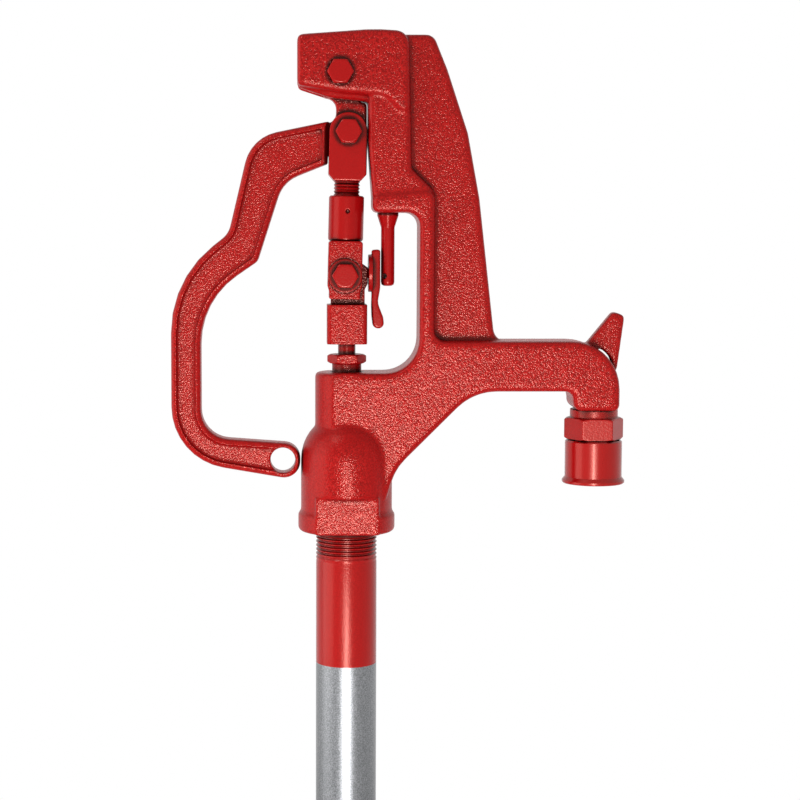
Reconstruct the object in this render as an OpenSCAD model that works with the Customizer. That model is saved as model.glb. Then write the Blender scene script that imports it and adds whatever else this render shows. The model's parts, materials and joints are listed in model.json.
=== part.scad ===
// Frost-free yard hydrant: a cast head with a lever and linkage on a buried pipe,
// and a drain-back valve at its foot. Millimetres, +Z up, front along -Y, spout towards +X.
// The origin is the centre of the inlet face, at the foot of the valve body.
// Heights in the head, spout, lever and linkage sections are above the foot of the head.

/* [Pipe] */
// Outside diameter of the casing pipe
pipe_od = 33.4; // [31.5:0.1:34.5]
// Wall of the casing pipe
pipe_wall = 3.4; // [2.4:0.1:4.4]
// Length of pipe screwed into the head, and into the valve body
pipe_engage = 17; // [12:1:20]
// Depth of the inlet below the ground
bury_depth = 305; // [200:5:1800]
// Height of the foot of the head above the ground
foot_above_ground = 478; // [300:1:700]
// Pitch of the pipe and hose threads
thread_pitch = 2.21; // [1.8:0.01:2.4]
// Thread ridges that show below the head
bare_ridges = 6; // [3:1:10]

/* [Head casting] */
// Thickness of the head, front to back
head_t = 31.2; // [30:0.1:33]
// Thickness of the arm between the window and the top block
arm_t = 27.6; // [26:0.1:29]
// Thickness of the thin web of the column
column_t = 14; // [10:0.5:18]
// Rounding of the casting's edges
edge_r = 2.8; // [2:0.1:3]
// Radius of the collar at the foot
collar_r = 26.5; // [25.8:0.1:28]
// Height of the collar
collar_h = 10.5; // [8:0.5:13]
// Distance of the two wrench flats from the pipe's axis
flat_y = 20.3; // [19.5:0.1:22]
// Width of the wrench flats
flat_w = 34.4; // [30:0.1:36]
// Height of the wrench flats
flat_h = 20.2; // [15:0.1:23]
// Radius of the round bulb
bulb_r = 25; // [24:0.1:25.4]
// Height of the centre of the bulb's dome
bulb_z = 39.7; // [37:0.1:42]
// Radius of the neck above the bulb
neck_r = 17.3; // [16.5:0.1:18.5]
// Height of the deck that the rod comes out of
deck_z = 87.5; // [85:0.1:90]
// Height where the underside of the web leaves the bulb
arch_z = 35.3; // [31:0.1:39]
// Distance of the rib from the pipe's axis
rib_x = 38.8; // [37:0.1:42]
// Width of the rib
rib_w = 8.1; // [7.6:0.1:11]
// Height of the window above the deck
window_h = 86.5; // [82:0.5:90]
// Radius of the fillet between deck and rib
deck_fillet = 18.5; // [12:0.5:20]
// Gap between the clevis and the arm
arm_gap = 0.4; // [0.35:0.05:0.8]
// Width of the arm
arm_w = 22.8; // [20:0.1:24]
// Reach of the top block to the left
block_x = 27.1; // [24:0.1:29]
// Rise from the fulcrum to the top of the block
block_rise = 22.6; // [20:0.1:26]
// Drop from the fulcrum to the foot of the block, at its left end
block_drop = 7; // [5:0.1:9]
// Width of the column at its foot
column_w = 33.5; // [28:0.5:40]

/* [Spout and nozzle] */
// Distance of the nozzle's axis from the pipe's axis
nozzle_x = 135.5; // [120:0.5:160]
// Height of the top of the spout
spout_z = 104.8; // [101:0.1:107]
// Depth of the spout, top to bottom
spout_d = 27.3; // [26:0.1:30]
// Width of the elbow
elbow_w = 25.2; // [24.6:0.1:28]
// How far the elbow stands left of the nozzle's axis
elbow_shift = 0.8; // [0:0.1:1.2]
// Height of the foot of the elbow
elbow_z = 67; // [64:0.1:69]
// Radius of the outside of the elbow
elbow_r = 26; // [20:0.1:26.5]
// Radius of the water passage
passage_r = 9.5; // [7:0.1:10]
// Height of the tip of the horn
horn_z = 119.6; // [115:0.1:127]
// Thickness of the horn
horn_t = 9; // [6:0.5:14]
// Radius of the nozzle's shoulder
shoulder_r = 13; // [12.4:0.1:13.6]
// Width of the nozzle's hexagon, across flats
nozzle_af = 28.1; // [27.5:0.1:30]
// Height of the nozzle's hexagon
nozzle_hex_h = 12.1; // [9:0.1:15]
// Radius of the hose thread
hose_r = 13.45; // [13:0.05:13.7]
// Length of the hose thread
hose_len = 15; // [12:0.5:18]
// Radius of the thread cap
cap_r = 15.5; // [15.1:0.1:16.5]
// Length of the thread cap
cap_h = 23.7; // [22:0.1:30]
// Radius of the cap's lip
cap_lip_r = 17; // [16.6:0.1:18]

/* [Lever] */
// Thickness of the lever's arm
lever_t = 14.4; // [13:0.1:16]
// Depth of the panels sunk into both faces
lever_panel = 2; // [1:0.1:3]
// Width of the rims along the panels
lever_rim = 3.2; // [3:0.1:4.5]
// Thickness of the tongue that carries the pins
tongue_t = 9.5; // [8:0.1:11]
// Distance of the handle from the pipe's axis
handle_x = 95.8; // [90:0.1:120]
// Outer radius of the ring at the lever's end
ring_r = 9.6; // [9:0.1:11]
// Radius of the hole in the ring
ring_hole_r = 6.8; // [6.6:0.1:7]
// Height of the centre of the ring
ring_z = 39.3; // [35:0.1:43]

/* [Linkage] */
// Gap between the deck and the rod coupler
coupler_gap = 15.3; // [14:0.1:17]
// Height of the lower pin above the foot of the coupler
pin_rise = 37.2; // [36.5:0.1:39]
// Rise from the lower pin to the upper pin
link_rise = 77.4; // [75:0.1:81]
// Rise from the upper pin to the fulcrum
fulcrum_rise = 31.3; // [30:0.1:34]
// Lower pin, left of the pipe's axis
lower_pin_x = 1.2; // [0.5:0.1:1.6]
// Upper pin of the link, right of the pipe's axis
upper_pin_x = 0.5; // [0:0.1:1.5]
// Fulcrum of the lever, left of the pipe's axis
fulcrum_x = 4.1; // [3:0.1:5]
// Width of the clevis
link_w = 20.4; // [19:0.1:21]
// Width of the fork
fork_w = 18.4; // [17:0.1:20.4]
// Thickness of the clevis and the fork
link_t = 20.8; // [19:0.1:22]
// Radius of the round sleeve
sleeve_r = 9.55; // [8.8:0.05:10]
// Radius of the threaded stud above the sleeve
stud_r = 7.1; // [6:0.1:7.4]
// Width of the rod coupler
coupler_w = 21.8; // [20:0.1:23]
// Thickness of the rod coupler
coupler_t = 19; // [18:0.1:21]
// Height of the rod coupler's block
coupler_h = 21.5; // [20:0.1:22]

/* [Fasteners] */
// Radius of the three pivot bolts
bolt_r = 4.7; // [3.5:0.05:4.9]
// Width of the bolt heads and nuts, across flats
bolt_af = 12.5; // [12:0.1:13.5]
// Height of the bolt heads
head_h = 5; // [4:0.1:6]
// Height of the nuts
nut_h = 6; // [5:0.1:7.5]
// Radius of the set screws
set_screw_r = 3; // [2:0.1:3.5]
// Distance of the guide pin from the pipe's axis
guide_pin_x = 22.2; // [21.8:0.1:23.4]
// Radius of the guide pin
guide_pin_r = 3.7; // [3:0.1:4]

/* [Rod and packing] */
// Radius of the operating rod
rod_r = 4.76; // [4:0.01:5]
// Radius of the packing nut's thread
gland_r = 8; // [7.4:0.1:8.6]
// Width of the packing nut, across corners
gland_ac = 21.5; // [20:0.1:23]
// Height of the packing nut's hexagon
gland_hex_h = 5; // [4:0.1:5]
// Lift of the rod when the lever is fully up
rod_lift = 11.45; // [10:0.05:14]

/* [Valve] */
// Radius of the valve body
valve_r = 21.5; // [20.6:0.1:24]
// Width of the inlet's hexagon, across flats
inlet_af = 38; // [35:0.5:42]
// Radius of the inlet thread
inlet_r = 12.25; // [11:0.05:13]
// Length of the inlet thread
inlet_len = 18; // [15:0.5:22]
// Radius of the valve seat
seat_r = 8; // [6:0.1:9]
// Height of the valve seat
seat_z = 34; // [32:0.5:38]
// Radius of the chamber above the seat
chamber_r = 13.1; // [12.6:0.1:13.2]
// Radius of the drain port
drain_r = 4; // [3:0.1:4.4]

/* [Clearances] */
// Gap round a piece that is screwed or pressed in
seat_gap = 0.05; // [0.03:0.01:0.08]
// Running fit of a pin or rod in its bore
running_fit = 0.08; // [0.05:0.01:0.1]
// Gap on each side of a tongue in its slot
slot_gap = 0.35; // [0.3:0.05:0.5]
// Gap between pieces that move past each other
clearance = 0.35; // [0.3:0.05:0.5]

/* [Hidden] */

$fn = 96;
enamel = "#b8222a";
brass = "#b59a52";
zinc = "#a9adb0";
steel = "#8c8f93";
rubber = "#2b2b2d";

// Degrees of turn from one point of a rounded corner to the next
arc_step = 11;
// Rounds of points up a rounded edge
edge_steps = 3;
// How far a cut or a hidden end runs past a face
past = 1;

foot_z = bury_depth + foot_above_ground;
window_z = deck_z + window_h;
coupler_z = deck_z + coupler_gap;
lower_pin_z = coupler_z + pin_rise;
upper_pin_z = lower_pin_z + link_rise;
fulcrum_z = upper_pin_z + fulcrum_rise;
block_foot_z = fulcrum_z - block_drop;
top_z = fulcrum_z + block_rise;
pipe_r = pipe_od / 2;
pipe_bore_r = pipe_r - pipe_wall;
thread_depth = 0.9;
fulcrum = [-fulcrum_x, fulcrum_z];
upper_pin = [upper_pin_x, upper_pin_z];
lower_pin = [-lower_pin_x, lower_pin_z];
link_len = norm(upper_pin - lower_pin);
link_lean = atan2(upper_pin[0] - lower_pin[0], upper_pin[1] - lower_pin[1]);
slot_t = tongue_t + 2 * slot_gap;
rib_right = rib_x + rib_w;
arm_x = upper_pin_x + link_w / 2 + arm_gap;
arm_right = arm_x + arm_w;
elbow_left = nozzle_x - elbow_shift - elbow_w / 2;
elbow_right = nozzle_x - elbow_shift + elbow_w / 2;
spout_under = spout_z - spout_d;
lug_r = 9.4;

// Unit vector along v
function unit(v) = v / norm(v);

// Corner p of an outline, between its neighbours a and b, rounded to radius r
function corner(a, p, b, r) =
    let (u = unit(a - p),
         v = unit(b - p),
         half = acos(u * v) / 2,
         from = p + u * r / tan(half),
         centre = p + unit(u + v) * r / sin(half),
         first = from - centre,
         side = cross(u, v) < 0 ? 1 : -1,
         turn = 180 - 2 * half,
         steps = max(1, ceil(turn / arc_step)))
    r == 0 ? [p] : [for (i = [0:steps])
        let (t = side * turn * i / steps)
        centre + [first[0] * cos(t) - first[1] * sin(t), first[0] * sin(t) + first[1] * cos(t)]];

// Outline through corners [x, z, radius], counter-clockwise
function rounded(c) = [for (i = [0:len(c) - 1])
    let (a = c[(i + len(c) - 1) % len(c)], p = c[i], b = c[(i + 1) % len(c)])
    each corner([a[0], a[1]], [p[0], p[1]], [b[0], b[1]], p[2])];

// Outline drawn in by d along the normal of each point
function drawn_in(path, d) = [for (i = [0:len(path) - 1])
    let (n = len(path),
         u = unit(path[i] - path[(i + n - 1) % n]),
         v = unit(path[(i + 1) % n] - path[i]),
         m = [-u[1] - v[1], u[0] + v[0]])
    path[i] + m * 2 * d / (m * m)];

// Heights and insets of the rounds of points up a plate of thickness t, front to back
function plate_levels(t, r) =
    let (front = [for (i = [0:edge_steps]) let (a = 90 * i / edge_steps)
                  [-t / 2 + r * (1 - cos(a)), r * (1 - sin(a))]])
    concat(front, [for (i = [edge_steps:-1:0]) [-front[i][0], front[i][1]]]);

// Whether the corner at place k of those left turns left and has no other point in its triangle
function is_ear(path, left, k) =
    let (n = len(left),
         a = path[left[(k + n - 1) % n]],
         b = path[left[k]],
         c = path[left[(k + 1) % n]])
    cross(b - a, c - b) > 0 &&
    len([for (i = left) let (p = path[i])
         if (p != a && p != b && p != c &&
             cross(b - a, p - a) >= 0 && cross(c - b, p - b) >= 0 && cross(a - c, p - c) >= 0) i]) == 0;

// Triangles that fill an outline, cut off one corner at a time from place k on
function ears(path, left, k = 0, cut = []) =
    len(left) == 3 ? concat(cut, [left]) :
    k >= 2 * len(left) ? cut :
    let (n = len(left), i = k % n)
    is_ear(path, left, i)
        ? ears(path, [for (j = [0:n - 1]) if (j != i) left[j]], i % (n - 1),
               concat(cut, [[left[(i + n - 1) % n], left[i], left[(i + 1) % n]]]))
        : ears(path, left, k + 1, cut);

// Casting of thickness t in the XZ plane, with its front and back edges rounded to r
module rounded_plate(corners, t, r) {
    path = rounded(corners);
    levels = plate_levels(t, r);
    n = len(path);
    last = (len(levels) - 1) * n;
    points = [for (level = levels) each
              [for (p = drawn_in(path, level[1])) [p[0], level[0], p[1]]]];
    fill = ears(drawn_in(path, r), [for (i = [0:n - 1]) i]);
    front = [for (f = fill) [f[2], f[1], f[0]]];
    back = [for (f = fill) [last + f[0], last + f[1], last + f[2]]];
    sides = [for (k = [0:len(levels) - 2], i = [0:n - 1])
        let (j = (i + 1) % n, k1 = k + 1)
        [k * n + i, k * n + j, k1 * n + j, k1 * n + i]];
    polyhedron(points, concat(front, sides, back), convexity = 8);
}

// Flat plate of thickness t in the XZ plane
module plate(path, t) {
    rotate([90, 0, 0])
        linear_extrude(height = t, center = true)
            polygon(path);
}

// Round bar along Y through point [x, z], from y0 to y1
module y_bar(p, r, y0, y1) {
    translate([p[0], y0, p[1]])
        rotate([-90, 0, 0])
            cylinder(r = r, h = y1 - y0);
}

// Round bar along X at height z, from x0 to x1
module x_bar(z, r, x0, x1) {
    translate([x0, 0, z])
        rotate([0, 90, 0])
            cylinder(r = r, h = x1 - x0);
}

// Round bar along Z, from z0 to z1
module z_bar(r, z0, z1) {
    translate([0, 0, z0])
        cylinder(r = r, h = z1 - z0);
}

// Solid of revolution about Z from points [radius, height]
module turned(profile) {
    rotate_extrude()
        polygon(profile);
}

// Places what is drawn above the foot of the head
module on_foot() {
    translate([0, 0, foot_z])
        children();
}

// Places what is drawn along the link, from the lower pin up
module on_link() {
    translate([lower_pin[0], 0, foot_z + lower_pin[1]])
        rotate([0, link_lean, 0])
            children();
}

// Hexagon bar along Z, its corners trimmed at both ends when trim is above zero
module hex_bar(af, h, trim = 0) {
    r = af / sqrt(3);
    intersection() {
        cylinder(r = r, h = h, $fn = 6);
        turned([[0, 0], [r - 2 * trim, 0], [r + 0.01, 2 * trim * 0.577], [r + 0.01, h - 2 * trim * 0.577],
                [r - 2 * trim, h], [0, h]]);
    }
}

// Pipe

engaged_r = pipe_r - thread_depth / 2;
ridges_z = foot_z - bare_ridges * thread_pitch;

module casing_pipe() {
    color(zinc)
        turned(concat(
            [[pipe_bore_r, pipe_foot_z], [pipe_r, pipe_foot_z], [pipe_r, ridges_z]],
            [for (i = [0:bare_ridges - 1]) let (z = ridges_z + i * thread_pitch)
             each [[pipe_r - thread_depth, z + 0.4 * thread_pitch], [pipe_r - 0.1, z + 0.85 * thread_pitch]]],
            [[engaged_r, foot_z], [engaged_r, foot_z + pipe_engage], [pipe_bore_r, foot_z + pipe_engage]]));
}

// Head casting

// Neck, spout, rib and the foot of the arm
base_corners = [
    [-6, collar_h + 4.5, 0],
    [20.2, collar_h + 4.5, 0],
    [bulb_r + 1.2, arch_z, 30],
    [bulb_r + 1.2 + spout_under - arch_z, spout_under, 30],
    [elbow_left, spout_under, 4],
    [elbow_left, elbow_z, 5],
    [elbow_right, elbow_z, edge_r + 0.3],
    [elbow_right, spout_z, elbow_r],
    [rib_right, spout_z, 6],
    [rib_right, window_z + 12.5, 5],
    [arm_x + 2.1, window_z + 9.5, edge_r + 0.3],
    [arm_x + 2.5, window_z, edge_r + 0.3],
    [rib_x, window_z, 7],
    [rib_x, deck_z, deck_fillet],
    [-6, deck_z, 0]];

// Arm, which flares onto the rib
arm_corners = [
    [arm_x + 2.6, window_z + 4, 0],
    [rib_right - 0.3, window_z + 4, 0],
    [rib_right - 0.3, window_z + 11.6, 5],
    [arm_right + 0.5, window_z + 23.6, 3],
    [arm_right - 0.5, block_foot_z + 3, 0],
    [arm_x, block_foot_z + 3, 0],
    [arm_x, upper_pin_z - 6, 20]];

// Top block, which carries the fulcrum
block_corners = [
    [-block_x, block_foot_z, edge_r + 0.3],
    [-4, block_foot_z - 3.8, 40],
    [arm_x + 8.6, block_foot_z - 5.8, 8],
    [arm_x + 16, block_foot_z - 13.4, 6],
    [arm_right - 0.5, block_foot_z - 15.5, edge_r + 0.3],
    [arm_right - 1.3, top_z - 1, 7.5],
    [arm_x + 2.8, top_z + 0.2, 60],
    [-block_x, top_z - 2.7, edge_r + 0.4]];

// Underside of the block, which hangs lower between its two faces
belly_t = 21;
belly_corners = [
    [-block_x + 0.4, block_foot_z + 4, 0],
    [-block_x + 0.4, block_foot_z - 0.8, 2.4],
    [-9.5, block_foot_z - 6.4, 7],
    [arm_x + 6, block_foot_z - 9, 0],
    [arm_x + 6, block_foot_z + 4, 0]];

// Column, the thin web that stands on the spout behind the rib and the arm
column_foot_x = rib_right + column_w;
column_corners = [
    [rib_x + 2, spout_z - 10, 0],
    [column_foot_x + 15, spout_z - 10, 0],
    [column_foot_x + 15, spout_z - 0.4, 0],
    [column_foot_x, spout_z - 0.4, 7],
    [column_foot_x - 12.9, window_z + 43.2, 260],
    [arm_right + 12.3, top_z - 2, 6],
    [arm_right - 4, top_z - 2, 0],
    [arm_right - 4, window_z + 23, 0],
    [rib_right - 7, window_z + 13, 0]];

// Horn on the back of the elbow, which keeps a pail's bail on the spout
horn_corners = [
    [nozzle_x - 9, spout_z - 9, 0],
    [nozzle_x + 9, spout_z - 22, 0],
    [nozzle_x + 12, spout_z - 15, 0],
    [nozzle_x + 15.7, horn_z - 1.4, 2.6],
    [nozzle_x + 9.3, horn_z + 0.9, 2.6],
    [nozzle_x - 4.6, spout_z - 1.4, 0]];

// Round collar and bulb
module bulb() {
    turned(concat(
        [[0, 0], [collar_r - 2, 0], [collar_r - 0.6, 0.6], [collar_r, 2],
         [collar_r, collar_h - 1], [bulb_r, collar_h + 0.8]],
        [for (a = [0:9:90]) [bulb_r * cos(a), bulb_z + bulb_r * sin(a)]]));
}

// Round end of the neck, flush with the casting's faces
module neck() {
    top = deck_z - 0.1;
    intersection() {
        turned([[0, bulb_z], [neck_r, bulb_z], [neck_r, top - 2], [neck_r - 0.6, top - 0.6],
                [neck_r - 2, top], [0, top]]);
        translate([-2 * neck_r, 0.1 - head_t / 2, 0])
            cube([4 * neck_r, head_t - 0.2, top_z]);
    }
}

cavity_r = 18.5;
gland_floor_z = deck_z - 24.5;
passage_turn = [spout_under + spout_d / 2 - 31.2, spout_under + spout_d / 2];
nozzle_screw_r = passage_r + 2;
nozzle_socket_z = elbow_z + 14;

// Water's way from the pipe up through the bulb and along the spout
module waterway() {
    turned([[0, -past], [engaged_r + seat_gap, -past], [engaged_r + seat_gap, pipe_engage + seat_gap],
            [pipe_bore_r, pipe_engage + 1.5], [cavity_r, pipe_engage + 8], [cavity_r, bulb_z],
            [rod_r + 1, gland_floor_z - 3], [rod_r + 1, gland_floor_z + past], [0, gland_floor_z + past]]);
    rise = passage_turn[1] - bulb_z;
    run = passage_turn[0] - 11;
    translate([11, 0, bulb_z])
        rotate([0, atan2(run, rise), 0])
            cylinder(r = passage_r, h = norm([run, rise]));
    translate([passage_turn[0], 0, passage_turn[1]])
        sphere(r = passage_r + 0.4);
    x_bar(passage_turn[1], passage_r, passage_turn[0], nozzle_x);
    translate([nozzle_x, 0, passage_turn[1]])
        sphere(r = passage_r + 0.4);
    translate([nozzle_x, 0, 0])
        z_bar(passage_r, elbow_z, passage_turn[1]);
    translate([nozzle_x, 0, 0])
        z_bar(nozzle_screw_r + seat_gap, elbow_z - past, nozzle_socket_z);
}

// Slot between the two cheeks of the top block, open to the left and below
module fulcrum_slot() {
    slot_left = -block_x - past;
    slot_right = fulcrum[0] + lug_r + 2.5;
    slot_foot_z = block_foot_z - 12;
    slot_top_z = fulcrum_z + lug_r + 2;
    translate([slot_left, -slot_t / 2, slot_foot_z])
        cube([slot_right - slot_left, slot_t, slot_top_z - slot_foot_z]);
}

module head_casting() {
    color(enamel)
        on_foot()
            difference() {
                union() {
                    rounded_plate(base_corners, head_t, edge_r);
                    rounded_plate(arm_corners, arm_t, edge_r);
                    rounded_plate(block_corners, head_t, edge_r);
                    rounded_plate(belly_corners, belly_t, edge_r);
                    rounded_plate(column_corners, column_t, edge_r);
                    rounded_plate(horn_corners, horn_t, 1.8);
                    bulb();
                    neck();
                    translate([-flat_w / 2, -flat_y - past, 0])
                        cube([flat_w, 2 * flat_y + 2 * past, flat_h]);
                }
                for (side = [-1, 1])
                    translate([-collar_r - past, side < 0 ? -2 * collar_r : flat_y, -past])
                        cube([2 * collar_r + 2 * past, 2 * collar_r - flat_y, flat_h + past]);
                waterway();
                z_bar(gland_r + seat_gap, gland_floor_z, deck_z + past);
                fulcrum_slot();
                y_bar(fulcrum, bolt_r + seat_gap, -head_t, head_t);
                translate([guide_pin_x, 0, 0])
                    z_bar(guide_pin_r + seat_gap, window_z - past, window_z + guide_pin_grip + seat_gap);
            }
}

// Gland round the rod

packing_h = 10;
washer_h = 2.2;
packing_z = gland_floor_z + washer_h;

module packing_washer() {
    color(brass)
        on_foot()
            difference() {
                z_bar(gland_r - 0.1, gland_floor_z, packing_z);
                z_bar(rod_r + running_fit, gland_floor_z - past, packing_z + past);
            }
}

module packing_ring() {
    color(rubber)
        on_foot()
            difference() {
                z_bar(gland_r - 0.05, packing_z, packing_z + packing_h);
                z_bar(rod_r + running_fit, packing_z - past, packing_z + packing_h + past);
            }
}

module packing_nut() {
    neck_z = deck_z + 4.6;
    color(enamel)
        on_foot()
            difference() {
                union() {
                    z_bar(gland_r, packing_z + packing_h, neck_z + past);
                    translate([0, 0, neck_z])
                        hex_bar(gland_ac * sqrt(3) / 2, gland_hex_h, 0.8);
                }
                z_bar(rod_r + running_fit, packing_z, deck_z + 20);
            }
}

// Nozzle and its cap

shoulder_h = 4.5;
hex_foot_z = elbow_z - shoulder_h - nozzle_hex_h;
hose_foot_z = hex_foot_z - hose_len;
hose_turns = floor((hose_len - 3) / thread_pitch);

module nozzle() {
    thread = [for (i = [0:hose_turns - 1]) let (z = hose_foot_z + 1 + i * thread_pitch)
              each [[hose_r - 1, z],
                    [hose_r, z + 0.5 * thread_pitch],
                    [hose_r - 1, z + 0.95 * thread_pitch]]];
    color(enamel)
        on_foot()
            translate([nozzle_x, 0, 0])
                difference() {
                    union() {
                        turned(concat([[0, hose_foot_z], [hose_r - 1, hose_foot_z]], thread,
                                      [[hose_r - 1, hex_foot_z + past], [0, hex_foot_z + past]]));
                        translate([0, 0, hex_foot_z])
                            hex_bar(nozzle_af, nozzle_hex_h, 0.9);
                        z_bar(shoulder_r, elbow_z - shoulder_h - past, elbow_z);
                        z_bar(nozzle_screw_r, elbow_z - past, nozzle_socket_z - 1);
                    }
                    z_bar(passage_r, hose_foot_z - past, nozzle_socket_z);
                }
}

module thread_cap() {
    top = hex_foot_z - clearance;
    floor_t = 3.4;
    color(enamel)
        on_foot()
            translate([nozzle_x, 0, 0])
                turned([[0, top - cap_h], [cap_lip_r - 0.6, top - cap_h], [cap_lip_r, top - cap_h + 0.6],
                        [cap_lip_r, top - cap_h + 1.6], [cap_r, top - cap_h + 3.6], [cap_r, top - 0.8],
                        [cap_r - 0.8, top], [hose_r + clearance, top],
                        [hose_r + clearance, top - cap_h + floor_t], [0, top - cap_h + floor_t]]);
}

// Bolts and nuts

// Hexagon bolt along +Y, its head's underside at y = 0, with a shank of length len
module hex_bolt(len) {
    rotate([-90, 0, 0]) {
        translate([0, 0, -head_h])
            hex_bar(bolt_af, head_h, 0.6);
        z_bar(bolt_r, -past, len);
    }
}

// Hexagon nut along +Y from y = 0
module hex_nut() {
    rotate([-90, 0, 0])
        difference() {
            hex_bar(bolt_af, nut_h, 0.6);
            z_bar(bolt_r + seat_gap, -past, nut_h + past);
        }
}

bolt_stick_out = 2;
washer_t = 1.5;

module fulcrum_bolt() {
    color(enamel)
        on_foot()
            translate([fulcrum[0], -head_t / 2, fulcrum[1]])
                hex_bolt(head_t + nut_h + bolt_stick_out);
}

module fulcrum_nut() {
    color(enamel)
        on_foot()
            translate([fulcrum[0], head_t / 2, fulcrum[1]])
                hex_nut();
}

module clevis_bolt() {
    color(enamel)
        on_link()
            translate([0, -link_t / 2, link_len])
                hex_bolt(link_t + nut_h + bolt_stick_out);
}

module clevis_nut() {
    color(enamel)
        on_link()
            translate([0, link_t / 2, link_len])
                hex_nut();
}

module fork_washer() {
    color(enamel)
        on_link()
            difference() {
                y_bar([0, 0], bolt_r + 4.3, -link_t / 2 - washer_t, -link_t / 2);
                y_bar([0, 0], bolt_r + seat_gap, -link_t, 0);
            }
}

module fork_bolt() {
    color(enamel)
        on_link()
            translate([0, -link_t / 2 - washer_t, 0])
                hex_bolt(link_t + washer_t + nut_h + bolt_stick_out);
}

module fork_nut() {
    color(enamel)
        on_link()
            translate([0, link_t / 2, 0])
                hex_nut();
}

// Guide pin that hangs from the arm beside the thumb screw
guide_pin_grip = 11;

module guide_pin() {
    foot = lower_pin_z - 5.7;
    hole_turn = 35;
    color(enamel)
        on_foot()
            translate([guide_pin_x, 0, 0])
                difference() {
                    turned([[0, foot], [guide_pin_r - 1.6, foot], [guide_pin_r - 0.4, foot + 0.7],
                            [guide_pin_r, foot + 2], [guide_pin_r, window_z - 8],
                            [guide_pin_r + 2.1, window_z - 1.5], [guide_pin_r + 2.1, window_z],
                            [guide_pin_r, window_z],
                            [guide_pin_r, window_z + guide_pin_grip], [0, window_z + guide_pin_grip]]);
                    rotate([0, 0, -hole_turn])
                        y_bar([0, foot + 5.4], 1.5, -10, 10);
                }
}

// Lever

ring_x = -bulb_r - clearance - ring_r;
root_x = upper_pin_x - link_w / 2 - 0.8;
ring_step = 0.3;
rise_in = 5.6;
drop_in = 17.1;

lever_corners = [
    [root_x, upper_pin_z + rise_in, 0],
    [-52, upper_pin_z - 2.9, 22],
    [-64.3, upper_pin_z - 54.7, 12],
    [-handle_x, upper_pin_z - 79.4, 60],
    [-handle_x, ring_z + 0.5, 34],
    [ring_x + ring_r, ring_z - ring_r - 1.8, ring_r - 0.6],
    [ring_x + ring_r, ring_z + ring_r - 0.8, ring_r - 0.6],
    [16.3 - handle_x, ring_z + 12.7, 16],
    [16.3 - handle_x, upper_pin_z - 91.1, 45],
    [-48.5, upper_pin_z - 69.8, 5],
    [-34.6, upper_pin_z - 26.7, 18],
    [root_x, upper_pin_z - drop_in, 0]];

// Tongue between the fulcrum and the upper pin, which fills the gap between the clevis and the arm
tongue_right = arm_x - 0.6;
tongue = rounded([
    [fulcrum[0] - lug_r + 0.6, fulcrum_z - 2, 0],
    [fulcrum[0] - lug_r + 0.6, upper_pin_z + 18.4, 1],
    [upper_pin_x - 6.5, upper_pin_z + 17.6, 5.9],
    [upper_pin_x - 6.5, upper_pin_z + 5.4, 5.9],
    [root_x - 8, upper_pin_z + 3, 0],
    [root_x - 10, upper_pin_z - 20, 0],
    [root_x - 0.1, upper_pin_z - drop_in + 0.6, 0],
    [root_x + 0.1, upper_pin_z - 13, 0],
    [upper_pin_x - 4, upper_pin_z - 8, 0],
    [tongue_right, upper_pin_z + 1, 0],
    [tongue_right, block_foot_z - 8.9, 2],
    [fulcrum[0] + lug_r + 1.2, block_foot_z - 8.4, 2],
    [fulcrum[0] + lug_r - 0.6, fulcrum_z - 2, 0]]);

module lever() {
    panel = drawn_in(rounded(lever_corners), lever_rim);
    color(enamel)
        on_foot()
            difference() {
                union() {
                    rounded_plate(lever_corners, lever_t, 2.6);
                    plate(tongue, tongue_t);
                    y_bar(fulcrum, lug_r, -tongue_t / 2, tongue_t / 2);
                    y_bar(upper_pin, lug_r - 0.4, -tongue_t / 2, tongue_t / 2);
                }
                for (side = [-1, 1])
                    translate([0, side * lever_t / 2, 0]) {
                        plate(panel, 2 * lever_panel);
                        y_bar([ring_x, ring_z], ring_hole_r + ring_step, -lever_panel, lever_panel);
                    }
                y_bar([ring_x, ring_z], ring_hole_r, -lever_t, lever_t);
                y_bar(fulcrum, bolt_r + running_fit, -lever_t, lever_t);
                y_bar(upper_pin, bolt_r + running_fit, -lever_t, lever_t);
            }
}

// Link: clevis, stud, sleeve and fork in one line

fork_top = 18.7;
sleeve_top = 43.2;
clevis_foot = 51.1;
clevis_slot = 15;

module upper_clevis() {
    w = link_w / 2;
    outline = rounded([
        [3 - w, clevis_foot, 0], [w - 3, clevis_foot, 0], [w, clevis_foot + 3.4, 0],
        [w, link_len + w, w - 0.05], [-w, link_len + w, w - 0.05], [-w, clevis_foot + 3.4, 0]]);
    color(enamel)
        on_link()
            difference() {
                plate(outline, link_t);
                translate([-link_w, -slot_t / 2, link_len - clevis_slot])
                    cube([2 * link_w, slot_t, clevis_slot + link_w]);
                z_bar(stud_r + seat_gap, clevis_foot - past, clevis_foot + 10);
                y_bar([0, link_len], bolt_r + seat_gap, -link_t, link_t);
            }
}

module link_stud() {
    ridge = 0.6;
    turns = floor((clevis_foot - sleeve_top - 0.6) / (thread_pitch - 0.4));
    pitch = (clevis_foot - sleeve_top - 0.6) / turns;
    color(enamel)
        on_link()
            turned(concat(
                [[0, sleeve_top - 11], [stud_r, sleeve_top - 11], [stud_r, sleeve_top + 0.3]],
                [for (i = [0:turns - 1]) let (z = sleeve_top + 0.3 + i * pitch)
                 each [[stud_r - ridge, z + pitch / 2], [stud_r, z + pitch]]],
                [[stud_r, clevis_foot + 9.5], [0, clevis_foot + 9.5]]));
}

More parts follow.
